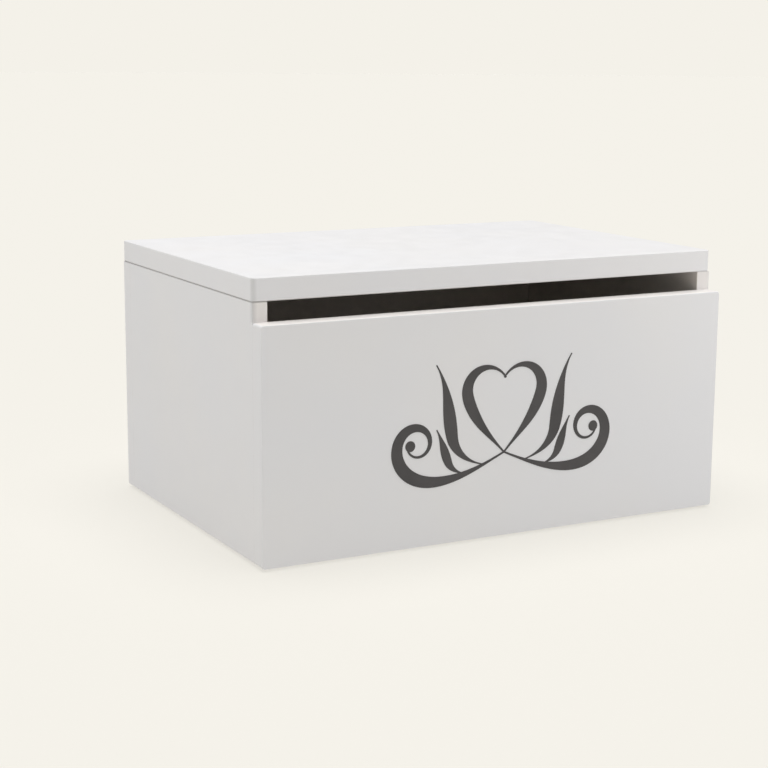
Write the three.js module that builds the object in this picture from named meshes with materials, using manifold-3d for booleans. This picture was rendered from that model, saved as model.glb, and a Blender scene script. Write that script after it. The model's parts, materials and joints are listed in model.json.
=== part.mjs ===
// Wedding card box: a painted board box with a hinged lid and a full-width posting slot.
// Millimetres, +Z up. The front faces -Y. The origin is on the table, under the middle of the box.
import * as THREE from 'three';
import { mergeVertices } from 'three/addons/utils/BufferGeometryUtils.js';
import Module from 'manifold-3d';

const wasm = await Module();
wasm.setup();

// Driving dimensions of the boards
const boxWidth = 330;
const lidDepth = 216;
const lidThickness = 14;
const wallHeight = 157;
const slotHeight = 12;
const sideThickness = 9.5;
const faceThickness = 12;
const baseThickness = 6;
const rebateDepth = 4.5;
const padThickness = 1.5;
const arris = 0.75;
const topRadius = 0.8;
const cornerRadius = 2;
const lidCornerRadius = 2;
const fitGap = 0.25;

// Driving dimensions of the hinges and fixings
const pinOffset = 2;
const hingeSpacing = 200;
const hinge = { length: 38, leafHeight: 12, leafThickness: 1, barrelRadius: 1.9, pinRadius: 1, knuckles: 5 };
const knuckleGap = 0.3;
const screw = { length: 9, headRadius: 2, headDepth: 1.25, shankRadius: 1, spacing: 22, offset: 7 };
const dowel = { radius: 2.5, length: 18, depthInFace: 7.5 };
const brad = { radius: 0.6, length: 15, headRadius: 1, headThickness: 0.5 };
const holeGap = 0.2;

// Places worked out from the driving dimensions
const frontFaceY = -(faceThickness + lidDepth + 2 * pinOffset) / 2;
const frontInnerY = frontFaceY + faceThickness;
const backFaceY = frontInnerY + lidDepth;
const backInnerY = backFaceY - faceThickness;
const sideLength = backInnerY - frontInnerY;
const innerX = boxWidth / 2 - sideThickness;
const boardBottomZ = padThickness;
const seamZ = boardBottomZ + wallHeight;
const frontHeight = wallHeight - slotHeight;
const pinY = backFaceY + pinOffset;

// Finishes
const finish = {
  whitePaint: () => new THREE.MeshStandardMaterial({ color: 0xf1efec, roughness: 0.45, metalness: 0 }),
  charcoalVinyl: () => new THREE.MeshStandardMaterial({ color: 0x484648, roughness: 0.5, metalness: 0 }),
  nickelSteel: () => new THREE.MeshStandardMaterial({ color: 0xb8b4ac, roughness: 0.3, metalness: 1 }),
  zincSteel: () => new THREE.MeshStandardMaterial({ color: 0xa9abad, roughness: 0.4, metalness: 1 }),
  beech: () => new THREE.MeshStandardMaterial({ color: 0xcfae84, roughness: 0.7, metalness: 0 }),
  greyFelt: () => new THREE.MeshStandardMaterial({ color: 0x8d8a86, roughness: 0.95, metalness: 0 }),
};

// Boolean work: a closed geometry becomes a solid, and a solid becomes a geometry again.
function toSolid(geometry) {
  const bare = geometry.clone();
  bare.deleteAttribute('normal');
  bare.deleteAttribute('uv');
  const merged = mergeVertices(bare, 1e-5);
  const vertProperties = new Float32Array(merged.attributes.position.array);
  const triVerts = new Uint32Array(merged.index.array);
  return new wasm.Manifold(new wasm.Mesh({ numProp: 3, vertProperties, triVerts }));
}

function toGeometry(solid) {
  const { vertProperties, triVerts } = solid.getMesh();
  const geometry = new THREE.BufferGeometry();
  geometry.setAttribute('position', new THREE.BufferAttribute(new Float32Array(vertProperties), 3));
  geometry.setIndex(new THREE.BufferAttribute(new Uint32Array(triVerts), 1));
  geometry.computeVertexNormals();
  return geometry;
}

function join(first, ...others) {
  return toGeometry(others.reduce((sum, other) => sum.add(toSolid(other)), toSolid(first)));
}

function cut(blank, tools) {
  return toGeometry(tools.reduce((rest, tool) => rest.subtract(toSolid(tool)), toSolid(blank)));
}

// Plain blanks and cutting tools, given by their lowest and highest corners or by their ends
function block([x0, y0, z0], [x1, y1, z1]) {
  const geometry = new THREE.BoxGeometry(x1 - x0, y1 - y0, z1 - z0);
  return geometry.translate((x0 + x1) / 2, (y0 + y1) / 2, (z0 + z1) / 2);
}

function rodAlongY(radius, x, z, y0, y1, sides = 16) {
  return new THREE.CylinderGeometry(radius, radius, y1 - y0, sides).translate(x, (y0 + y1) / 2, z);
}

function rodAlongZ(radius, x, y, z0, z1, sides = 12) {
  const geometry = new THREE.CylinderGeometry(radius, radius, z1 - z0, sides).rotateX(Math.PI / 2);
  return geometry.translate(x, y, (z0 + z1) / 2);
}

function rodAlongX(radius, x0, x1, sides = 28) {
  const geometry = new THREE.CylinderGeometry(radius, radius, x1 - x0, sides).rotateZ(Math.PI / 2);
  return geometry.translate((x0 + x1) / 2, 0, 0);
}

// A rectangle from (0, 0) to (width, height) with its own rounding at each corner
function roundedRectangle(width, height, { lowLeft = 0, lowRight = 0, highRight = 0, highLeft = 0 }) {
  const shape = new THREE.Shape();
  shape.moveTo(lowLeft, 0);
  shape.lineTo(width - lowRight, 0);
  if (lowRight) shape.absarc(width - lowRight, lowRight, lowRight, -Math.PI / 2, 0);
  shape.lineTo(width, height - highRight);
  if (highRight) shape.absarc(width - highRight, height - highRight, highRight, 0, Math.PI / 2);
  shape.lineTo(highLeft, height);
  if (highLeft) shape.absarc(highLeft, height - highLeft, highLeft, Math.PI / 2, Math.PI);
  shape.lineTo(0, lowLeft);
  if (lowLeft) shape.absarc(lowLeft, lowLeft, lowLeft, Math.PI, Math.PI * 1.5);
  return shape;
}

function extrude(shape, depth, bevel = 0) {
  return new THREE.ExtrudeGeometry(shape, {
    depth: depth - 2 * bevel,
    curveSegments: 6,
    bevelEnabled: bevel > 0,
    bevelThickness: bevel,
    bevelSize: bevel,
    bevelOffset: -bevel,
    bevelSegments: 4,
  }).translate(0, 0, bevel);
}

// A front or back board. It stands on its lower edge, its glued face at y = 0 and square-edged,
// its show face at y = -faceThickness with a rounded arris all round.
function faceBoard(height, highRadius) {
  const corners = {
    lowLeft: cornerRadius, lowRight: cornerRadius, highRight: highRadius, highLeft: highRadius,
  };
  const outline = roundedRectangle(boxWidth, height, corners);
  const spare = 2 * arris;
  const blank = extrude(outline, faceThickness + spare, arris)
    .translate(-boxWidth / 2, 0, -spare)
    .rotateX(Math.PI / 2);
  const offcut = block([-boxWidth, 0, -height], [boxWidth, 2 * spare, 2 * height]);
  const baseHalfWidth = innerX + rebateDepth;
  const rebate = block([-baseHalfWidth, -rebateDepth, -1], [baseHalfWidth, 1, baseThickness]);
  return cut(blank, [offcut, rebate]);
}

// Heights of the dowels above the boards' lower edges
const dowelHeights = { lower: 0.2 * frontHeight, middle: 0.5 * frontHeight, upper: 0.8 * frontHeight };
const dowelX = boxWidth / 2 - sideThickness / 2;

function dowelHoles(side, y0, y1) {
  return Object.values(dowelHeights).map((height) =>
    rodAlongY(dowel.radius + holeGap, side * dowelX, height, y0 - 0.5, y1 + 0.5));
}

// Places of the brads that hold the base, on the middle line of the rebate's shoulder
const shoulder = rebateDepth / 2;
const bradPlaces = [
  ...[-110, 0, 110].map((x) => [x, frontInnerY - shoulder]),
  ...[-110, 0, 110].map((x) => [x, backInnerY + shoulder]),
  ...[-50, 50].map((y) => [-innerX - shoulder, y]),
  ...[-50, 50].map((y) => [innerX + shoulder, y]),
];
const bradHeadZ = boardBottomZ + fitGap;

function bradHole([x, y]) {
  return rodAlongZ(brad.radius + holeGap, x, y, 0, bradHeadZ + brad.length + 0.5, 8);
}

function bradHeadHole([x, y]) {
  const top = bradHeadZ + brad.headThickness + holeGap;
  return rodAlongZ(brad.headRadius + holeGap, x, y, 0, top, 8);
}

// Screw holes of the two hinges in the board that a row of screws enters
const hingeCentres = { left: -hingeSpacing / 2, right: hingeSpacing / 2 };
const screwPlaces = { outer: screw.spacing / 2, inner: -screw.spacing / 2 };

function screwHoles(z) {
  const deepest = backFaceY + hinge.leafThickness - screw.length - 0.5;
  return Object.values(hingeCentres).flatMap((centre) =>
    Object.values(screwPlaces).map((place) =>
      rodAlongY(screw.shankRadius + holeGap, centre + place, z, deepest, backFaceY + 1)));
}

function frontPanel() {
  const board = faceBoard(frontHeight, cornerRadius).translate(0, frontInnerY, boardBottomZ);
  const reach = frontInnerY - dowel.depthInFace;
  const dowels = [-1, 1].flatMap((side) => dowelHoles(side, reach, frontInnerY + 5))
    .map((hole) => hole.translate(0, 0, boardBottomZ));
  return cut(board, [...dowels, ...bradPlaces.slice(0, 3).map(bradHole)]);
}

function backPanel() {
  const board = faceBoard(wallHeight, topRadius).rotateZ(Math.PI).translate(0, backInnerY, boardBottomZ);
  const reach = backInnerY + dowel.depthInFace;
  const dowels = [-1, 1].flatMap((side) => dowelHoles(side, backInnerY - 5, reach))
    .map((hole) => hole.translate(0, 0, boardBottomZ));
  const screws = screwHoles(seamZ - screw.offset);
  return cut(board, [...dowels, ...screws, ...bradPlaces.slice(3, 6).map(bradHole)]);
}

// A side board, between the front and back boards. side is -1 for the left and 1 for the right.
function sidePanel(side) {
  const outer = side < 0 ? 'lowLeft' : 'lowRight';
  const radii = { highLeft: topRadius, highRight: topRadius, [outer]: cornerRadius };
  const board = extrude(roundedRectangle(sideThickness, wallHeight, radii), sideLength)
    .rotateX(Math.PI / 2)
    .translate(side < 0 ? -boxWidth / 2 : innerX, backInnerY, boardBottomZ);
  const rebateX = [side * (innerX - 1), side * (innerX + rebateDepth)].sort((a, b) => a - b);
  const rebate = block(
    [rebateX[0], frontInnerY - 1, 0],
    [rebateX[1], backInnerY + 1, boardBottomZ + baseThickness]);
  const depthInSide = dowel.length - dowel.depthInFace;
  const dowels = [
    ...dowelHoles(side, frontInnerY - 5, frontInnerY + depthInSide),
    ...dowelHoles(side, backInnerY - depthInSide, backInnerY + 5),
  ].map((hole) => hole.translate(0, 0, boardBottomZ));
  const brads = bradPlaces.slice(6).filter(([x]) => x * side > 0).map(bradHole);
  return cut(board, [rebate, ...dowels, ...brads]);
}

// The bottom board lies in the rebates of the four walls, flush with their lower edges.
function basePanel() {
  const halfWidth = innerX + rebateDepth - fitGap;
  const board = block(
    [-halfWidth, frontInnerY - rebateDepth + fitGap, boardBottomZ],
    [halfWidth, backInnerY + rebateDepth - fitGap, boardBottomZ + baseThickness]);
  return cut(board, [...bradPlaces.map(bradHole), ...bradPlaces.map(bradHeadHole)]);
}

// The lid board lies on the sides and the back, flush with them all round.
function lidPanel() {
  const corners = {
    lowLeft: lidCornerRadius,
    lowRight: lidCornerRadius,
    highRight: lidCornerRadius,
    highLeft: lidCornerRadius,
  };
  const outline = roundedRectangle(boxWidth, lidDepth, corners);
  const board = extrude(outline, lidThickness, arris).translate(-boxWidth / 2, frontInnerY, seamZ);
  return cut(board, screwHoles(seamZ + screw.offset));
}

// One hinge leaf about the pin's axis. up is 1 for the lid's leaf and -1 for the body's.
function hingeLeaf(up) {
  const pitch = hinge.length / hinge.knuckles;
  const clearance = hinge.barrelRadius + 0.35;
  const plateHeight = hinge.leafHeight - clearance;
  const corner = 1.5;
  const plate = extrude(
    roundedRectangle(hinge.length, plateHeight, { highLeft: corner, highRight: corner }),
    hinge.leafThickness);
  plate.rotateX(Math.PI / 2).translate(-hinge.length / 2, -pinOffset + hinge.leafThickness, clearance);
  const parts = [];
  const bores = [];
  for (let index = up > 0 ? 1 : 0; index < hinge.knuckles; index += 2) {
    const start = -hinge.length / 2 + index * pitch + knuckleGap / 2;
    const end = start + pitch - knuckleGap;
    parts.push(block([start, -pinOffset, 0], [end, -pinOffset + hinge.leafThickness, clearance + 0.5]));
    parts.push(rodAlongX(hinge.barrelRadius, start, end));
    bores.push(rodAlongX(hinge.pinRadius + 0.15, start - 1, end + 1));
  }
  const sinks = Object.values(screwPlaces).map((place) => countersink(place, screw.offset));
  const leaf = cut(join(plate, ...parts), [...bores, ...sinks]);
  return up > 0 ? leaf : leaf.rotateX(Math.PI).rotateZ(Math.PI);
}

function countersink(x, z) {
  const slope = (screw.headRadius - screw.shankRadius) / screw.headDepth;
  const wide = screw.headRadius + 0.15 + slope * 0.5;
  const narrow = screw.headRadius + 0.15 - slope * (hinge.leafThickness + 0.5);
  const cone = new THREE.CylinderGeometry(wide, narrow, hinge.leafThickness + 1, 20);
  return cone.translate(x, -pinOffset + hinge.leafThickness / 2, z);
}

// A straight pin with lightly domed ends, along X through the origin
function hingePin() {
  const half = hinge.length / 2;
  const { pinRadius } = hinge;
  const profile = [[0, -half], [0.6 * pinRadius, -half + 0.05], [pinRadius, -half + 0.4]];
  const mirrored = profile.map(([radius, along]) => [radius, -along]).reverse();
  const points = [...profile, ...mirrored].map(([radius, along]) => new THREE.Vector2(radius, along));
  return new THREE.LatheGeometry(points, 20).rotateZ(Math.PI / 2);
}

// A raised-head countersunk wood screw along Y: its head's rim at y = 0, its point towards -Y
function woodScrew() {
  const { length, headRadius, headDepth, shankRadius } = screw;
  const dome = 0.4;
  const profile = [
    [0, -length], [shankRadius, -length + 2.5], [shankRadius, -headDepth], [headRadius, 0],
    [0.7 * headRadius, 0.7 * dome], [0, dome],
  ];
  const points = profile.map(([radius, along]) => new THREE.Vector2(radius, along));
  const blank = new THREE.LatheGeometry(points, 20);
  const long = 0.6 * headRadius;
  const recess = [
    block([-long, -0.5, -0.25], [long, 1, 0.25]),
    block([-0.25, -0.5, -long], [0.25, 1, long]),
  ];
  return cut(blank, recess);
}

// A brad along Z: its head's underside at z = 0, its point upwards
function baseBrad() {
  const { radius, length, headRadius, headThickness } = brad;
  const profile = [
    [0, 0], [headRadius, 0], [headRadius, headThickness], [radius, headThickness],
    [radius, length - 1.5], [0, length],
  ];
  const points = profile.map(([across, along]) => new THREE.Vector2(across, along));
  return new THREE.LatheGeometry(points, 12).rotateX(Math.PI / 2);
}

// A fluted-dowel blank with chamfered ends, along Y from y = 0
function dowelPin() {
  const { radius, length } = dowel;
  const profile = [
    [0, 0], [radius - 0.6, 0], [radius, 0.8], [radius, length - 0.8], [radius - 0.6, length], [0, length],
  ];
  const points = profile.map(([across, along]) => new THREE.Vector2(across, along));
  return new THREE.LatheGeometry(points, 16);
}

// The decoration on the front: pen strokes with swelling width, cut from thin vinyl.
// Each stroke walks from its start along a heading in degrees. Its stretches are a length and the
// curvature at each end of it. A stroke may end in a round drop of a given radius, on its left.
const vinylThickness = 0.2;
const motifCentreZ = boardBottomZ + 81;
const penStep = 1.5;
const motifStrokes = {
  mainScroll: {
    start: [0, -27], heading: -24, thin: 1.2, thick: 8.2, drop: 3.4,
    stretches: [[46, 0, 0.015], [42, 0.015, 0.059], [63, 0.059, 0.143]],
  },
  tallLeaf: {
    start: [16, -33], heading: 14, thin: 0.8, thick: 9,
    stretches: [[30, 0.02, 0.055], [48, 0.01, -0.026]],
  },
  shortLeaf: {
    start: [29, -37.5], heading: 14, thin: 0.8, thick: 6,
    stretches: [[14, 0.03, 0.1], [23, 0.02, -0.03]],
  },
  heart: {
    start: [0, -27], heading: 47, thin: 1.2, thick: 8,
    stretches: [[42, -0.004, 0.022], [8, 0.022, 0.075], [37.8, 0.075, 0.06]],
  },
};

function penPath({ start, heading, stretches }) {
  let [x, z] = start;
  let angle = THREE.MathUtils.degToRad(heading);
  const path = [{ x, z, angle }];
  for (const [length, firstBend, lastBend] of stretches) {
    const steps = Math.ceil(length / penStep);
    const step = length / steps;
    for (let index = 0; index < steps; index += 1) {
      const turn = THREE.MathUtils.lerp(firstBend, lastBend, (index + 0.5) / steps) * step;
      x += Math.cos(angle + turn / 2) * step;
      z += Math.sin(angle + turn / 2) * step;
      angle += turn;
      path.push({ x, z, angle });
    }
  }
  return path;
}

function beside({ x, z, angle }, distance) {
  return new THREE.Vector2(x - Math.sin(angle) * distance, z + Math.cos(angle) * distance);
}

function penStroke(stroke) {
  const path = penPath(stroke);
  const last = path.length - 1;
  const halfWidths = path.map((point, index) => {
    const swell = (1 - Math.cos(2 * Math.PI * index / last)) / 2;
    return THREE.MathUtils.lerp(stroke.thin, stroke.thick, swell) / 2;
  });
  const left = path.map((point, index) => beside(point, halfWidths[index]));
  const right = path.map((point, index) => beside(point, -halfWidths[index]));
  const parts = [extrude(new THREE.Shape([...right, ...left.reverse()]), vinylThickness)];
  if (stroke.drop) {
    const centre = beside(path[last], 0.6 * stroke.drop);
    const outline = new THREE.Shape().absarc(centre.x, centre.y, stroke.drop, 0, 2 * Math.PI);
    parts.push(extrude(outline, vinylThickness));
  }
  return parts;
}

function frontMotif() {
  const right = Object.values(motifStrokes).flatMap(penStroke);
  const left = right.map((part) => part.clone().rotateY(Math.PI).translate(0, 0, vinylThickness));
  return join(...right, ...left).rotateX(Math.PI / 2);
}

// Assembly
function piece(name, geometry, material, x = 0, y = 0, z = 0) {
  const mesh = new THREE.Mesh(geometry, material);
  mesh.name = name;
  mesh.position.set(x, y, z);
  return mesh;
}

function boxBody() {
  const body = new THREE.Group();
  body.add(piece('front_panel', frontPanel(), finish.whitePaint()));
  body.add(piece('back_panel', backPanel(), finish.whitePaint()));
  body.add(piece('left_side_panel', sidePanel(-1), finish.whitePaint()));
  body.add(piece('right_side_panel', sidePanel(1), finish.whitePaint()));
  body.add(piece('base_panel', basePanel(), finish.whitePaint()));
  body.add(piece('front_motif', frontMotif(), finish.charcoalVinyl(), 0, frontFaceY, motifCentreZ));
  addDowels(body);
  addBrads(body);
  addFeltPads(body);
  return body;
}

function addDowels(body) {
  const ends = {
    front: frontInnerY - dowel.depthInFace,
    rear: backInnerY + dowel.depthInFace - dowel.length,
  };
  for (const [end, y] of Object.entries(ends)) {
    for (const [sideName, side] of [['left', -1], ['right', 1]]) {
      for (const [level, height] of Object.entries(dowelHeights)) {
        const name = `${end}_${sideName}_dowel_${level}`;
        body.add(piece(name, dowelPin(), finish.beech(), side * dowelX, y, boardBottomZ + height));
      }
    }
  }
}

function addBrads(body) {
  bradPlaces.forEach(([x, y], index) => {
    body.add(piece(`base_brad_${index + 1}`, baseBrad(), finish.zincSteel(), x, y, bradHeadZ));
  });
}

function addFeltPads(body) {
  const padRadius = 10;
  const inset = 20;
  const rows = { front: frontFaceY + inset, rear: backFaceY - inset };
  for (const [row, y] of Object.entries(rows)) {
    for (const [sideName, side] of [['left', -1], ['right', 1]]) {
      const pad = rodAlongZ(padRadius, 0, 0, 0, padThickness, 40);
      const x = side * (boxWidth / 2 - inset);
      body.add(piece(`${row}_${sideName}_felt_pad`, pad, finish.greyFelt(), x, y, 0));
    }
  }
}

function hingesOnBody() {
  const group = new THREE.Group();
  group.position.set(0, pinY, seamZ);
  for (const [side, x] of Object.entries(hingeCentres)) {
    group.add(piece(`${side}_hinge_body_leaf`, hingeLeaf(-1), finish.nickelSteel(), x));
    group.add(piece(`${side}_hinge_pin`, hingePin(), finish.nickelSteel(), x));
    addScrews(group, `${side}_hinge_body_screw`, x, -screw.offset);
  }
  return group;
}

// The lid turns about this group's own X axis, which is the hinge pins' axis.
function lid() {
  const group = new THREE.Group();
  group.position.set(0, pinY, seamZ);
  group.add(piece('lid_panel', lidPanel(), finish.whitePaint(), 0, -pinY, -seamZ));
  for (const [side, x] of Object.entries(hingeCentres)) {
    group.add(piece(`${side}_hinge_lid_leaf`, hingeLeaf(1), finish.nickelSteel(), x));
    addScrews(group, `${side}_hinge_lid_screw`, x, screw.offset);
  }
  return group;
}

function addScrews(group, name, x, z) {
  for (const [place, along] of Object.entries(screwPlaces)) {
    const y = -pinOffset + hinge.leafThickness;
    const screwX = x + Math.sign(x) * along;
    group.add(piece(`${name}_${place}`, woodScrew(), finish.zincSteel(), screwX, y, z));
  }
}

const group = new THREE.Group();
group.add(boxBody());
group.add(hingesOnBody());
group.add(lid());

export default group;
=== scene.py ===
import json
import math

import bmesh
import bpy
from mathutils import Matrix, Quaternion, Vector
from mathutils.noise import noise as smooth_noise

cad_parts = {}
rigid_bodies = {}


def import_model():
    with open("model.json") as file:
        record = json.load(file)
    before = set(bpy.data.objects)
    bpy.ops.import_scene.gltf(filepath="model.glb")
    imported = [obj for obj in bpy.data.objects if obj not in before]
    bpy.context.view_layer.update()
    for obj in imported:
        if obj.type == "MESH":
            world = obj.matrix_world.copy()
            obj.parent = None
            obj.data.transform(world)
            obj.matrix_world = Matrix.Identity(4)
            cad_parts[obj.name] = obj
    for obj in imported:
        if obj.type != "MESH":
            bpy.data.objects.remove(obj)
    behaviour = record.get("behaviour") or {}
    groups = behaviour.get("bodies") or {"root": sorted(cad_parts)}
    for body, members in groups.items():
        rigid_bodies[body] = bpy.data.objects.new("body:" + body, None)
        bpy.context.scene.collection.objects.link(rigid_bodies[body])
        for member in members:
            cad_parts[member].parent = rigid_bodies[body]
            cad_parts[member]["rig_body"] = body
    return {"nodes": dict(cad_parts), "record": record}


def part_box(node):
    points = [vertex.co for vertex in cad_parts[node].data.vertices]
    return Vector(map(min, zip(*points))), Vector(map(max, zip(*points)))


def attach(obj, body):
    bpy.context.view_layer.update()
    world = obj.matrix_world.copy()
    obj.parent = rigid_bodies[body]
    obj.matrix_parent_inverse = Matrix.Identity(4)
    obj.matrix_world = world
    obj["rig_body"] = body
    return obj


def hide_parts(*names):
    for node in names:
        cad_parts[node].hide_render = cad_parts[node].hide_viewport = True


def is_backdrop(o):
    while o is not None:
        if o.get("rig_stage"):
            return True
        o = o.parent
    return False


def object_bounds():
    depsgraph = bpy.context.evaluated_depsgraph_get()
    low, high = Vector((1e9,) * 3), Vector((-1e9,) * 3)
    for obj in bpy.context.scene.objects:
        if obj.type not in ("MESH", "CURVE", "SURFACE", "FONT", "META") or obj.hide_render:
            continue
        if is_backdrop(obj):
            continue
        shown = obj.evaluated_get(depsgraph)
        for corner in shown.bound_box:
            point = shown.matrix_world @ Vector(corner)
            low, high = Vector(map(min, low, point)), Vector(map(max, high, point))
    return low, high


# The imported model, in metres: +Z up, the front faces -Y.
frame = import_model()
cad_low, cad_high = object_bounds()
nodes = frame["nodes"]
slots = {subpart["node"]: subpart["material_slot"] for subpart in frame["record"]["subparts"]}
scene = bpy.context.scene

MM = 0.001
BACKDROP_COLOUR = (0.905, 0.880, 0.815)
STAGE_RADIUS = 17.0

# Places on the boards that the paint and the motif depend on
lid_low, lid_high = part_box("lid_panel")
front_low, front_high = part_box("front_panel")
SIDE_FACE = lid_high.x
LID_FRONT = lid_low.y
SEAM_HEIGHT = lid_low.z
FRONT_TOP = front_high.z
MOTIF_HEIGHT = 82.5 * MM


# Camera

def make_camera():
    """Looks at the box from its left front, a little from above."""
    azimuth = math.radians(-28.19)
    elevation = math.radians(11.08)
    roll = math.radians(0.37)
    distance = 1.1787
    middle = (cad_low + cad_high) / 2
    target = middle + Vector((-18.5, 8.4, -7.9)) * MM
    back = Vector((
        math.sin(azimuth) * math.cos(elevation),
        -math.cos(azimuth) * math.cos(elevation),
        math.sin(elevation),
    ))
    data = bpy.data.cameras.new("camera")
    data.sensor_width = 36.0
    data.lens = 81.45
    data.clip_start = 0.01
    data.clip_end = 200.0
    camera = bpy.data.objects.new("camera", data)
    scene.collection.objects.link(camera)
    camera.location = target + back * distance
    camera.rotation_mode = "QUATERNION"
    camera.rotation_quaternion = (-back).to_track_quat("-Z", "Y") @ Quaternion((0, 0, 1), roll)
    scene.camera = camera


# Node helpers

def new_material(name):
    """A material with its node tree and its Principled shader."""
    material = bpy.data.materials.new(name)
    material.use_nodes = True
    tree = material.node_tree
    return material, tree, tree.nodes["Principled BSDF"]


def set_input(tree, socket, value):
    """Links another node's output to a socket, or sets the socket to a constant."""
    if isinstance(value, bpy.types.NodeSocket):
        tree.links.new(value, socket)
    else:
        socket.default_value = value


def add_node(tree, kind, inputs=None, **settings):
    node = tree.nodes.new(kind)
    for name, value in settings.items():
        setattr(node, name, value)
    for name, value in (inputs or {}).items():
        set_input(tree, node.inputs[name], value)
    return node


def place_of(tree):
    """The point in the CAD frame, in metres. It moves with the piece."""
    return add_node(tree, "ShaderNodeTexCoord").outputs["Object"]


def coordinates(tree):
    """The same point as separate X, Y and Z."""
    return add_node(tree, "ShaderNodeSeparateXYZ", {0: place_of(tree)}).outputs


def noise(tree, wavelength, detail=2.0, roughness=0.5, stretch=None):
    """A noise pattern of a given size. It is drawn out along an axis whose stretch is below 1."""
    vector = place_of(tree)
    if stretch:
        vector = add_node(tree, "ShaderNodeMapping", {"Vector": vector, "Scale": stretch}).outputs[0]
    settings = {"Vector": vector, "Scale": 1 / wavelength, "Detail": detail, "Roughness": roughness}
    return add_node(tree, "ShaderNodeTexNoise", settings).outputs[0]


def remap(tree, value, low, high, to_low, to_high):
    inputs = {"Value": value, "From Min": low, "From Max": high, "To Min": to_low, "To Max": to_high}
    return add_node(tree, "ShaderNodeMapRange", inputs).outputs[0]


def math_node(tree, operation, first, second=0.0):
    node = add_node(tree, "ShaderNodeMath", operation=operation)
    set_input(tree, node.inputs[0], first)
    set_input(tree, node.inputs[1], second)
    return node.outputs[0]


def distance_between(tree, first, second):
    return math_node(tree, "ABSOLUTE", math_node(tree, "SUBTRACT", first, second))


def blend_colours(tree, factor, first, second):
    """A colour between two others. Each may be a constant or another node's colour."""
    node = add_node(tree, "ShaderNodeMix", data_type="RGBA")
    set_input(tree, node.inputs[0], factor)
    for socket, colour in ((node.inputs[6], first), (node.inputs[7], second)):
        set_input(tree, socket, colour if isinstance(colour, bpy.types.NodeSocket) else (*colour, 1.0))
    return node.outputs[2]


def mottled(tree, pattern, first, second, spread=0.2):
    """Two colours blended by a noise pattern, more sharply with a smaller spread."""
    return blend_colours(tree, remap(tree, pattern, 0.5 - spread, 0.5 + spread, 0, 1), first, second)


def uneven(tree, pattern, low, high):
    """A value that a noise pattern varies between two limits."""
    return remap(tree, pattern, 0.3, 0.7, low, high)


def bump(tree, height, distance, under=None):
    inputs = {"Height": height, "Strength": 1.0, "Distance": distance}
    if under is not None:
        inputs["Normal"] = under
    return add_node(tree, "ShaderNodeBump", inputs).outputs[0]


def edge_mask(tree, radius):
    """1 along the edges of the mesh and 0 on its flats."""
    rounded = add_node(tree, "ShaderNodeBevel", {"Radius": radius}, samples=6).outputs[0]
    true_normal = add_node(tree, "ShaderNodeNewGeometry").outputs["Normal"]
    inputs = {0: rounded, 1: true_normal}
    facing = add_node(tree, "ShaderNodeVectorMath", inputs, operation="DOT_PRODUCT").outputs["Value"]
    return remap(tree, facing, 1.0, 0.85, 0.0, 1.0)


def distance_outside(tree, low, high):
    """How far a point lies outside a box in the CAD frame, along its worst axis. Negative inside."""
    place = coordinates(tree)
    worst = None
    for axis in range(3):
        middle = (low[axis] + high[axis]) / 2
        half = (high[axis] - low[axis]) / 2
        beyond = math_node(tree, "SUBTRACT", distance_between(tree, place[axis], middle), half)
        worst = beyond if worst is None else math_node(tree, "MAXIMUM", worst, beyond)
    return worst


def within(tree, low, high):
    """1 inside a box in the CAD frame, fading to 0 just outside it."""
    return remap(tree, distance_outside(tree, low, high), 0.0, 0.3 * MM, 1, 0)


# The paint's masks, painted shade and painted bounce light among them

def inside_walls(tree):
    """The room inside the walls, from the middle of the base board to just under the lid."""
    walls_low = Vector((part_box("left_side_panel")[1].x, front_high.y, middle_of("base_panel").z))
    walls_high = Vector((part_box("right_side_panel")[0].x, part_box("back_panel")[0].y, SEAM_HEIGHT))
    return within(tree, walls_low, walls_high - Vector((0, 0, 0.3)) * MM)


def painted_bounce_on_slot_edges(tree):
    """The top edge of the front board, and the side boards' front ends above it, which get a painted warm
    tint of bounced light.

    The box that holds them stays clear of the outer faces and of the joint, and takes in the ends.
    """
    edges_low = Vector((-SIDE_FACE, front_low.y, FRONT_TOP)) + Vector((0.4, 0.4, 0)) * MM
    edges_high = Vector((SIDE_FACE, front_high.y, SEAM_HEIGHT)) + Vector((-0.4, 0.1, -0.1)) * MM
    return within(tree, edges_low, edges_high)


def painted_seam_shade(tree):
    """Painted shade in the outer millimetre of the joint under the lid, darker towards the left."""
    place = coordinates(tree)
    most = remap(tree, place["X"], -SIDE_FACE, SIDE_FACE, 0.5, 0.1)
    near_seam = remap(tree, distance_between(tree, place["Z"], SEAM_HEIGHT), 0.2 * MM, 0.8 * MM, most, 0)
    rim = 1.0 * MM
    inner_low = Vector((lid_low.x + rim, lid_low.y + rim, cad_low.z))
    inner_high = Vector((lid_high.x - rim, lid_high.y - rim, cad_high.z))
    at_rim = math_node(tree, "SUBTRACT", 1.0, within(tree, inner_low, inner_high))
    return math_node(tree, "MULTIPLY", at_rim, near_seam)


def painted_corner_shade(tree):
    """Painted shade on the lid's left front corner and that end of the slot, greyed a little."""
    place = coordinates(tree)
    from_side = math_node(tree, "ADD", place["X"], SIDE_FACE)
    from_front = distance_between(tree, place["Y"], LID_FRONT)
    from_corner = math_node(tree, "ADD", from_side, from_front)
    above_front_board = math_node(tree, "GREATER_THAN", place["Z"], FRONT_TOP + 0.2 * MM)
    corner_shade_strength = remap(tree, from_corner, 0.8 * MM, 3.4 * MM, 0.5, 0)
    return math_node(tree, "MULTIPLY", above_front_board, corner_shade_strength)


def edge_wear(tree):
    """Scuffs along the boards' edges."""
    scuffs = noise(tree, 6 * MM, detail=4, roughness=0.7)
    return math_node(tree, "MULTIPLY", edge_mask(tree, 1.0 * MM), remap(tree, scuffs, 0.45, 0.7, 0.05, 0.5))


# Materials

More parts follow.
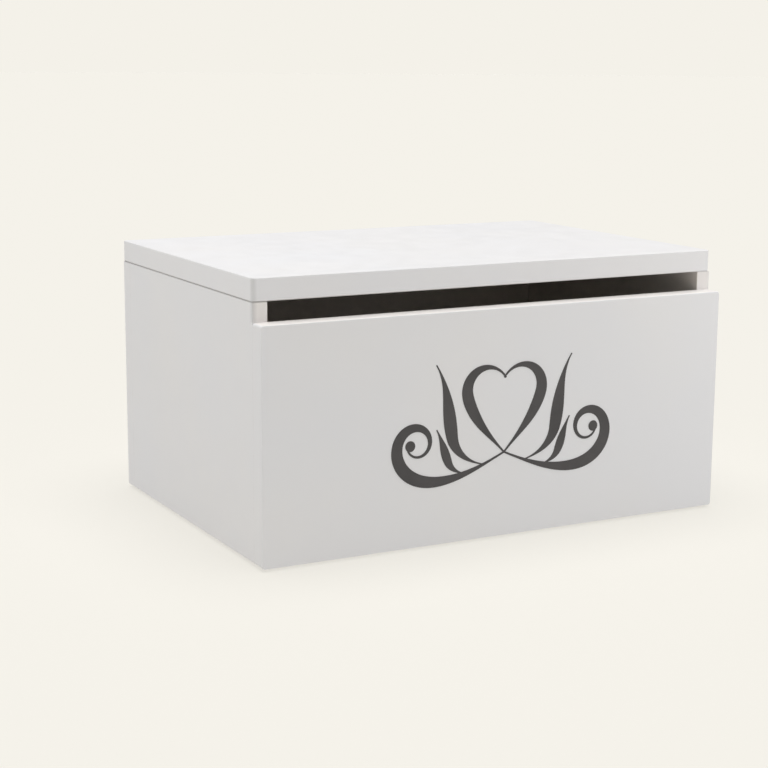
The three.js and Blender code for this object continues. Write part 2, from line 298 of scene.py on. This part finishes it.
def white_paint():
    """Sprayed satin paint on sanded fibreboard: faint orange peel, a little cloudiness, worn edges.

    Inside the box the paint is a thinner, warmer coat. The edges round the slot get a painted warm tint of
    bounced light, and painted shade darkens the lid's left front corner and the joint under the lid.
    """
    material, tree, shader = new_material("white_paint")
    cloud = noise(tree, 110 * MM, detail=3)
    colour = mottled(tree, cloud, (0.848, 0.845, 0.868), (0.834, 0.839, 0.877), spread=0.15)
    layers = (
        # painted warm bounce light on the slot's edges
        (painted_bounce_on_slot_edges(tree), (0.875, 0.846, 0.838)),
        (inside_walls(tree), (0.855, 0.80, 0.74)),
        (edge_wear(tree), (0.62, 0.60, 0.58)),
        # painted shade on the lid's left front corner
        (painted_corner_shade(tree), (0.56, 0.56, 0.57)),
        # painted shade: a dark line in the joint under the lid
        (painted_seam_shade(tree), (0.34, 0.325, 0.31)),
    )
    for mask, layer_colour in layers:
        colour = blend_colours(tree, mask, colour, layer_colour)
    tree.links.new(colour, shader.inputs["Base Color"])
    patches = noise(tree, 14 * MM, detail=3)
    tree.links.new(uneven(tree, patches, 0.46, 0.58), shader.inputs["Roughness"])
    peel = bump(tree, noise(tree, 1.6 * MM, detail=1), 0.03 * MM)
    waves = bump(tree, noise(tree, 28 * MM, detail=1), 0.06 * MM, under=peel)
    tree.links.new(waves, shader.inputs["Normal"])
    return material


def charcoal_vinyl():
    """Cut film with a dull, very fine grain."""
    material, tree, shader = new_material("charcoal_vinyl")
    cloud = noise(tree, 25 * MM, detail=3)
    colour = mottled(tree, cloud, (0.055, 0.052, 0.055), (0.075, 0.070, 0.073))
    tree.links.new(colour, shader.inputs["Base Color"])
    tree.links.new(uneven(tree, noise(tree, 5 * MM), 0.42, 0.56), shader.inputs["Roughness"])
    tree.links.new(bump(tree, noise(tree, 0.5 * MM, detail=2), 0.004 * MM), shader.inputs["Normal"])
    return material


def plated_metal(name, bright, dull, low_roughness, high_roughness, stretch):
    """Plated steel: drawn or brushed along one direction, duller where the cloud falls."""
    material, tree, shader = new_material(name)
    cloud = noise(tree, 4 * MM, detail=4, roughness=0.6)
    tree.links.new(mottled(tree, cloud, bright, dull), shader.inputs["Base Color"])
    shader.inputs["Metallic"].default_value = 1.0
    streaks = noise(tree, 0.35 * MM, detail=3, stretch=stretch)
    tree.links.new(uneven(tree, streaks, low_roughness, high_roughness), shader.inputs["Roughness"])
    tree.links.new(bump(tree, streaks, 0.006 * MM), shader.inputs["Normal"])
    return material


def beech():
    """Bare beech with its grain along Y."""
    material, tree, shader = new_material("beech_dowel")
    grain = noise(tree, 1.2 * MM, detail=4, roughness=0.6, stretch=(1, 0.08, 1))
    colour = mottled(tree, grain, (0.70, 0.52, 0.33), (0.52, 0.35, 0.20))
    tree.links.new(colour, shader.inputs["Base Color"])
    tree.links.new(uneven(tree, grain, 0.6, 0.8), shader.inputs["Roughness"])
    tree.links.new(bump(tree, grain, 0.05 * MM), shader.inputs["Normal"])
    return material


def felt():
    """Pressed grey fibres, light and dark, with a soft sheen."""
    material, tree, shader = new_material("grey_felt")
    fibres = noise(tree, 0.45 * MM, detail=6, roughness=0.75)
    colour = mottled(tree, fibres, (0.20, 0.195, 0.19), (0.42, 0.41, 0.40))
    tree.links.new(colour, shader.inputs["Base Color"])
    tree.links.new(uneven(tree, fibres, 0.85, 1.0), shader.inputs["Roughness"])
    shader.inputs["Sheen Weight"].default_value = 0.4
    tree.links.new(bump(tree, fibres, 0.3 * MM), shader.inputs["Normal"])
    return material


def make_finishes():
    """One material for each of the record's slots."""
    along_x = (0.05, 1, 1)
    along_y = (1, 0.1, 1)
    return {
        "white_paint": white_paint(),
        "charcoal_vinyl": charcoal_vinyl(),
        "nickel_hinge": plated_metal(
            "nickel_hinge", (0.66, 0.64, 0.60), (0.58, 0.56, 0.52), 0.24, 0.34, along_x),
        "zinc_screw": plated_metal(
            "zinc_screw", (0.64, 0.65, 0.66), (0.54, 0.55, 0.57), 0.25, 0.38, along_y),
        "steel_brad": plated_metal(
            "steel_brad", (0.55, 0.55, 0.55), (0.42, 0.41, 0.40), 0.3, 0.5, along_y),
        "beech_dowel": beech(),
        "grey_felt": felt(),
    }


# Mesh helpers. Shapes are drawn in millimetres round their own origin, then put in their place.

def revolve(profile, sides, swell=None):
    """A closed shape round the Z axis. The profile gives radius and height, swell adds to the radius."""
    bm = bmesh.new()
    rings = []
    for radius, height in profile:
        ring = []
        for index in range(sides if radius else 1):
            angle = 2 * math.pi * index / sides
            reach = radius + (swell(angle, height) if swell and radius else 0)
            ring.append(bm.verts.new((reach * math.cos(angle), reach * math.sin(angle), height)))
        rings.append(ring)
    for lower, upper in zip(rings, rings[1:]):
        for index in range(sides):
            after = (index + 1) % sides
            corners = (
                lower[index % len(lower)],
                lower[after % len(lower)],
                upper[after % len(upper)],
                upper[index % len(upper)],
            )
            bm.faces.new(list(dict.fromkeys(corners)))
    bmesh.ops.recalc_face_normals(bm, faces=bm.faces)
    return bm


def prism(outline, depth):
    """A flat outline in X and Z, thickened along +Y."""
    bm = bmesh.new()
    face = bm.faces.new([bm.verts.new((x, 0, z)) for x, z in outline])
    extruded = bmesh.ops.extrude_face_region(bm, geom=[face])["geom"]
    far_side = [part for part in extruded if isinstance(part, bmesh.types.BMVert)]
    bmesh.ops.translate(bm, verts=far_side, vec=(0, depth, 0))
    bmesh.ops.recalc_face_normals(bm, faces=bm.faces)
    return bm


def mirrored(ends, length):
    """A profile from the end of a symmetrical piece, followed by the same for its other end."""
    return [*ends, *[(radius, length - height) for radius, height in reversed(ends)]]


def moved(bm, *steps):
    for step in steps:
        bm.transform(step)
    return bm


def shift(x, y, z):
    return Matrix.Translation((x, y, z))


def turn(degrees, axis):
    return Matrix.Rotation(math.radians(degrees), 4, axis)


def temporary_object(bm):
    """An object for a boolean step. It takes over the mesh."""
    mesh = bpy.data.meshes.new("temporary")
    bm.to_mesh(mesh)
    bm.free()
    piece = bpy.data.objects.new("temporary", mesh)
    scene.collection.objects.link(piece)
    return piece


def combine(blank, tools, operation):
    """Joins closed shapes to the first one, or cuts them from it."""
    base = temporary_object(blank)
    others = [temporary_object(tool) for tool in tools]
    for other in others:
        step = base.modifiers.new("combine", "BOOLEAN")
        step.operation = operation
        step.solver = "EXACT"
        step.object = other
    graph = bpy.context.evaluated_depsgraph_get()
    mesh = bpy.data.meshes.new_from_object(base.evaluated_get(graph))
    for piece in (base, *others):
        old_mesh = piece.data
        bpy.data.objects.remove(piece)
        bpy.data.meshes.remove(old_mesh)
    result = bmesh.new()
    result.from_mesh(mesh)
    bpy.data.meshes.remove(mesh)
    return result


def ease_edges(piece, width):
    """Merges the facets' shared corners, takes the knife edge off and shades the rounds smoothly."""
    weld = piece.modifiers.new("weld", "WELD")
    weld.merge_threshold = 0.002 * MM
    ease = piece.modifiers.new("ease", "BEVEL")
    ease.width = width * MM
    ease.segments = 2
    ease.limit_method = "ANGLE"
    ease.angle_limit = math.radians(50)
    ease.use_clamp_overlap = True
    piece.data.polygons.foreach_set("use_smooth", [True] * len(piece.data.polygons))
    shading = piece.modifiers.new("shading", "WEIGHTED_NORMAL")
    shading.weight = 100
    shading.keep_sharp = False


def add_fine_piece(node, bm, place, easing):
    """Puts a finely made shape where a CAD node is, with that node's body and finish."""
    slot = slots[node]
    mesh = bpy.data.meshes.new("fine_" + node)
    moved(bm, Matrix.Scale(MM, 4), Matrix.Translation(place)).to_mesh(mesh)
    bm.free()
    mesh.materials.append(finishes[slot])
    piece = bpy.data.objects.new("fine_" + node, mesh)
    scene.collection.objects.link(piece)
    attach(piece, nodes[node]["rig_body"])
    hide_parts(node)
    ease_edges(piece, easing)


def middle_of(node):
    low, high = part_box(node)
    return (low + high) / 2


def size_of(node):
    """The size of a node's box in millimetres."""
    low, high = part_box(node)
    return [round(extent / MM, 3) for extent in high - low]


def nodes_with(word):
    return [name for name in sorted(nodes) if word in name]


# Hinges

def arc(radius, first, last, steps):
    """Points on a circle round the origin, from one angle in degrees to another."""
    angles = [math.radians(first + (last - first) * index / steps) for index in range(steps + 1)]
    return [(radius * math.cos(angle), radius * math.sin(angle)) for angle in angles]


def curled_knuckle(start, width):
    """A strip of the leaf rolled round the pin, seen from the end in Y and Z."""
    outer, inner, top = 1.95, 1.05, 2.9
    outline = [(-outer, top), *arc(outer, 180, 468, 36), *arc(inner, 468, 180, 30), (-inner, top)]
    return moved(prism(outline, width), turn(90, "Z"), shift(start + width, 0, 0))


def leaf_plate(length, foot, height, thickness):
    """The leaf's flat plate with its two free corners rounded."""
    half = length / 2
    corner = 1.5
    round_right = [(half - corner + x, height - corner + z) for x, z in arc(corner, 0, 90, 10)]
    round_left = [(-x, z) for x, z in reversed(round_right)]
    return prism([(-half, foot), (half, foot), *round_right, *round_left], thickness)


def countersink(x, z, outer_face):
    """A screw's hole through the leaf. It widens towards the outer face."""
    hole, mouth, depth, spare = 1.35, 2.15, 1, 0.5
    profile = [
        (0, -depth - spare), (hole, -depth - spare), (hole, -depth), (mouth, 0), (mouth, spare), (0, spare),
    ]
    return moved(revolve(profile, 40), turn(-90, "X"), shift(x, outer_face, z))


def hinge_leaf(first_knuckle):
    """A pressed leaf above its pin: plate, rolled knuckles and two countersunk holes."""
    length = size_of("left_hinge_pin")[0]
    pin_to_back, thickness, foot, height = 2, 1, 2.25, 12
    knuckle_count, knuckle_gap = 5, 0.3
    screw_side, screw_height = 11, 7
    plate = moved(leaf_plate(length, foot, height, thickness), shift(0, -pin_to_back, 0))
    pitch = length / knuckle_count
    knuckles = []
    for index in range(first_knuckle, knuckle_count, 2):
        start = -length / 2 + index * pitch + knuckle_gap / 2
        knuckles.append(curled_knuckle(start, pitch - knuckle_gap))
    leaf = combine(plate, knuckles, "UNION")
    outer_face = thickness - pin_to_back
    sinks = [countersink(x, screw_height, outer_face) for x in (-screw_side, screw_side)]
    return combine(leaf, sinks, "DIFFERENCE")


def hinge_pin():
    """A straight pin along X with lightly domed ends."""
    length, across, _ = size_of("left_hinge_pin")
    radius = across / 2
    ends = [(0, 0), (0.5 * radius, 0.04), (0.8 * radius, 0.15), (0.94 * radius, 0.3), (radius, 0.55)]
    return moved(revolve(mirrored(ends, length), 32), shift(0, 0, -length / 2), turn(90, "Y"))


def add_hinges():
    for side in ("left", "right"):
        place = middle_of(side + "_hinge_pin")
        add_fine_piece(side + "_hinge_pin", hinge_pin(), place, 0.05)
        add_fine_piece(side + "_hinge_lid_leaf", hinge_leaf(1), place, 0.12)
        lower = moved(hinge_leaf(0), turn(180, "Y"))
        add_fine_piece(side + "_hinge_body_leaf", lower, place, 0.12)


# Wood screws. The rim of the head is at height 0 and the point is below it.

SCREW_LENGTH = 9
THREAD_TOP = -2.6


def thread(angle, height):
    """The ridge of a wood screw's thread above its core. It fades out at the tip and at the shank."""
    pitch, ridge, half_width = 0.95, 0.3, 0.28
    fade_at_tip, fade_at_top = 1.8, 0.6
    if height > THREAD_TOP:
        return 0
    phase = (height / pitch - angle / (2 * math.pi)) % 1
    fade = min((height + SCREW_LENGTH) / fade_at_tip, (THREAD_TOP - height) / fade_at_top, 1)
    return ridge * max(0, 1 - abs(phase - 0.5) / half_width) * fade


def cross_wing():
    """One wing of the cross recess: narrow and short at the bottom, wide and long at the top."""
    bm = bmesh.new()
    for half_length, half_width, height in ((0.35, 0.13, -0.75), (1.2, 0.25, 0.5)):
        for x, y in ((1, 1), (-1, 1), (-1, -1), (1, -1)):
            bm.verts.new((x * half_length, y * half_width, height))
    bmesh.ops.convex_hull(bm, input=bm.verts)
    return bm


def wood_screw():
    """A tapered point and thread, a plain shank and a raised countersunk head with a cross recess."""
    steps = 50
    core_radius, tip_radius, taper = 0.7, 0.1, 0.4
    core = []
    for index in range(1, steps):
        above_tip = (SCREW_LENGTH + THREAD_TOP) * index / steps
        core.append((min(core_radius, tip_radius + taper * above_tip), above_tip - SCREW_LENGTH))
    shank = [(0.92, -2.5), (0.92, -1.3)]
    head = [(1.88, -0.1), (2, 0), (1.9, 0.1), (1.45, 0.25), (0.8, 0.37), (0, 0.4)]
    blank = revolve([(0, -SCREW_LENGTH), *core, *shank, *head], 32, thread)
    return combine(blank, [cross_wing(), moved(cross_wing(), turn(90, "Z"))], "DIFFERENCE")


def add_screws():
    """Each screw is driven to a different angle, as on a real hinge."""
    for count, node in enumerate(nodes_with("_screw_")):
        place = middle_of(node)
        place.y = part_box(node)[0].y + SCREW_LENGTH * MM
        degrees_apart = 37
        screw = moved(wood_screw(), turn(degrees_apart * count % 90, "Z"), turn(-90, "X"))
        add_fine_piece(node, screw, place, 0.04)


# Pads, dowels and brads

def fibrous_edge(place):
    """A swell that raises fibres on a felt disc's rim, different on each pad."""
    fineness_round, fineness_up, apart = 14, 2.2, 900
    fibre_height, shrinkage = 0.16, 0.05

    def fuzz(angle, height):
        round_rim = Vector((math.cos(angle), math.sin(angle), 0)) * fineness_round
        spot = round_rim + Vector((0, 0, height * fineness_up)) + place * apart
        return fibre_height * smooth_noise(spot) - shrinkage

    return fuzz


def add_felt_pads():
    """Punched felt discs: a soft rim with a fibrous edge."""
    for node in nodes_with("_felt_pad"):
        across, _, thickness = size_of(node)
        radius = across / 2
        half_rim = [(radius - 0.7, 0), (radius - 0.3, 0.08), (radius - 0.08, 0.3), (radius, 0.6)]
        profile = mirrored([(0, 0), (0.6 * radius, 0), *half_rim], thickness)
        middle = middle_of(node)
        foot = Vector((middle.x, middle.y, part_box(node)[0].z))
        add_fine_piece(node, revolve(profile, 180, fibrous_edge(middle)), foot, 0.02)


def add_dowels():
    """Fluted beech dowels with chamfered ends."""
    across, length, _ = size_of("front_left_dowel_lower")
    radius = across / 2
    ends = [(0, 0), (radius - 0.6, 0), (radius - 0.3, 0.2), (radius - 0.02, 0.75), (radius, 1)]

    flute_count, flute_depth, plain_end = 16, 0.14, 0.5

    def flute(angle, height):
        depth = flute_depth if plain_end < height < length - plain_end else 0
        return -depth * max(0, math.cos(flute_count * angle)) ** 2

    for node in nodes_with("_dowel_"):
        place = middle_of(node)
        place.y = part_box(node)[0].y
        dowel = moved(revolve(mirrored(ends, length), 128, flute), turn(-90, "X"))
        add_fine_piece(node, dowel, place, 0.02)


def add_brads():
    """Panel brads: a flat head, a few grip rings below it and a diamond point."""
    length = size_of("base_brad_1")[2]
    shank = 0.6
    head = [(0, 0), (0.9, 0), (1, 0.1), (1, 0.38), (0.9, 0.5), (shank, 0.55)]
    rings = []
    for index in range(5):
        height = 1.2 + 0.35 * index
        rings += [(shank, height), (shank + 0.06, height + 0.12), (shank, height + 0.2)]
    profile = [*head, *rings, (shank, length - 1.8), (0, length)]
    for node in nodes_with("base_brad_"):
        place = middle_of(node)
        place.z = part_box(node)[0].z
        add_fine_piece(node, revolve(profile, 24), place, 0.03)


# The motif

# Its pen strokes in millimetres: where each starts, its heading in degrees, its width at the ends and
# in the middle, and stretches of path as length, first bend and last bend per millimetre. A stroke may
# end in a round drop of a given radius.
MOTIF_STROKES = [
    {
        "start": (0, -27), "heading": -24, "thin": 1.2, "thick": 8.2, "drop": 3.4,
        "stretches": [(46, 0, 0.015), (42, 0.015, 0.059), (63, 0.059, 0.143)],
    },
    {
        "start": (16, -33), "heading": 14, "thin": 0.8, "thick": 9,
        "stretches": [(30, 0.02, 0.055), (48, 0.01, -0.026)],
    },
    {
        "start": (29, -37.5), "heading": 14, "thin": 0.8, "thick": 6,
        "stretches": [(14, 0.03, 0.1), (23, 0.02, -0.03)],
    },
    {
        "start": (0, -27), "heading": 47, "thin": 1.2, "thick": 8,
        "stretches": [(42, -0.004, 0.022), (8, 0.022, 0.075), (37.8, 0.075, 0.06)],
    },
]


def pen_path(stroke):
    """Points along a stroke, each with the heading there in radians."""
    step = 0.5
    x, z = stroke["start"]
    angle = math.radians(stroke["heading"])
    path = [(x, z, angle)]
    for length, first_bend, last_bend in stroke["stretches"]:
        count = round(length / step)
        for index in range(count):
            bend = first_bend + (last_bend - first_bend) * (index + 0.5) / count
            turned = bend * length / count
            x += math.cos(angle + turned / 2) * length / count
            z += math.sin(angle + turned / 2) * length / count
            angle += turned
            path.append((x, z, angle))
    return path


def beside(point, distance):
    """A point to the left of the path, or to its right with a negative distance."""
    x, z, angle = point
    return x - math.sin(angle) * distance, z + math.cos(angle) * distance


def pen_outline(path, thin, thick):
    """The outline of a stroke that swells from thin ends to a thick middle."""
    last = len(path) - 1
    half_widths = []
    for index in range(len(path)):
        swell = (1 - math.cos(2 * math.pi * index / last)) / 2
        half_widths.append((thin + (thick - thin) * swell) / 2)
    left = [beside(point, half) for point, half in zip(path, half_widths)]
    right = [beside(point, -half) for point, half in zip(path, half_widths)]
    return right + left[::-1]


def drop_outline(path, radius):
    """A round drop on the left of a stroke's end."""
    x, z = beside(path[-1], 0.6 * radius)
    return [(x + across, z + up) for across, up in arc(radius, 0, 360, 48)[:-1]]


def add_motif():
    """Two mirrored scrolls with leaves and a small heart, cut from vinyl film."""
    outlines = []
    for stroke in MOTIF_STROKES:
        path = pen_path(stroke)
        outlines.append(pen_outline(path, stroke["thin"], stroke["thick"]))
        if "drop" in stroke:
            outlines.append(drop_outline(path, stroke["drop"]))
    outlines += [[(-x, z) for x, z in reversed(outline)] for outline in outlines]
    thickness = size_of("front_motif")[1]
    film = [prism(outline, thickness) for outline in outlines]
    place = Vector((0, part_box("front_motif")[0].y, MOTIF_HEIGHT))
    add_fine_piece("front_motif", combine(film[0], film[1:], "UNION"), place, 0.05)


def dress_cad_nodes():
    """The boards stay as the CAD made them. Each CAD node gets its slot's finish."""
    for node, slot in slots.items():
        nodes[node].material_slots[0].material = finishes[slot]
    for node in nodes_with("_panel"):
        ease_edges(nodes[node], 0.12)


# Stage and light

def make_stage_piece(name, bm, material):
    mesh = bpy.data.meshes.new(name)
    bm.to_mesh(mesh)
    bm.free()
    mesh.materials.append(material)
    piece = bpy.data.objects.new(name, mesh)
    scene.collection.objects.link(piece)
    piece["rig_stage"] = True
    return piece


def make_floor():
    """A wide sheet of cream paper. It glows a little, which keeps the box's shadow on it light."""
    material, tree, shader = new_material("floor_paper")
    grain = noise(tree, 3 * MM, detail=2)
    colour = blend_colours(tree, grain, (0.327, 0.322, 0.308), (0.333, 0.328, 0.314))
    tree.links.new(colour, shader.inputs["Base Color"])
    shader.inputs["Roughness"].default_value = 1.0
    shader.inputs["Specular IOR Level"].default_value = 0.0
    shader.inputs["Emission Color"].default_value = (*BACKDROP_COLOUR, 1.0)
    shader.inputs["Emission Strength"].default_value = 0.6
    bm = bmesh.new()
    bmesh.ops.create_circle(bm, cap_ends=True, segments=96, radius=STAGE_RADIUS)
    floor = make_stage_piece("floor", bm, material)
    floor.location.z = cad_low.z


def make_backdrop():
    """A far cream dome, seen by the camera only, so that it neither lights nor shades the box."""
    material = bpy.data.materials.new("backdrop_cream")
    material.use_nodes = True
    tree = material.node_tree
    glow = add_node(tree, "ShaderNodeEmission", {"Color": (*BACKDROP_COLOUR, 1.0)})
    tree.links.new(glow.outputs[0], tree.nodes["Material Output"].inputs["Surface"])
    bm = bmesh.new()
    bmesh.ops.create_uvsphere(bm, u_segments=64, v_segments=32, radius=STAGE_RADIUS)
    backdrop = make_stage_piece("backdrop", bm, material)
    backdrop.visible_diffuse = False
    backdrop.visible_glossy = False
    backdrop.visible_shadow = False


def make_overhead_light():
    """A very wide soft sun straight above. An unturned sun lamp shines down."""
    data = bpy.data.lights.new("overhead", "SUN")
    data.angle = math.radians(60)
    data.energy = 2.44
    data.color = (1.0, 0.985, 0.945)
    scene.collection.objects.link(bpy.data.objects.new("overhead", data))


def make_softbox(name, place, aim, size, power, lit):
    """A round area light that falls only on one collection."""
    data = bpy.data.lights.new(name, "AREA")
    data.shape = "DISK"
    data.size = size
    data.energy = power
    light = bpy.data.objects.new(name, data)
    light.location = place
    light.rotation_mode = "QUATERNION"
    light.rotation_quaternion = (Vector(place) - Vector(aim)).to_track_quat("Z", "Y")
    scene.collection.objects.link(light)
    light.light_linking.receiver_collection = lit


def make_softboxes():
    """Two small lights that brighten the box but leave no pools on the floor."""
    lit = bpy.data.collections.new("lit_by_softboxes")
    for piece in scene.objects:
        if piece.type == "MESH" and not piece.get("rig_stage"):
            lit.objects.link(piece)
    slot_right_end = (cad_high.x, front_low.y, 0.15)
    make_softbox("right_softbox", (0.30, -0.30, 0.20), slot_right_end, size=0.25, power=0.12, lit=lit)
    left_side = (cad_low.x, 0.0, 0.1)
    make_softbox("left_softbox", (-0.45, 0.0, 0.45), left_side, size=0.3, power=0.16, lit=lit)


def make_world():
    """Even, nearly white light from all round."""
    world = bpy.data.worlds.new("studio")
    world.use_nodes = True
    background = world.node_tree.nodes["Background"]
    background.inputs["Color"].default_value = (1.0, 0.995, 0.985, 1.0)
    background.inputs["Strength"].default_value = 0.34
    scene.world = world


make_camera()
finishes = make_finishes()
dress_cad_nodes()
add_motif()
add_hinges()
add_screws()
add_felt_pads()
add_dowels()
add_brads()
make_floor()
make_backdrop()
make_world()
make_overhead_light()
make_softboxes()
scene.view_settings.view_transform = "Standard"
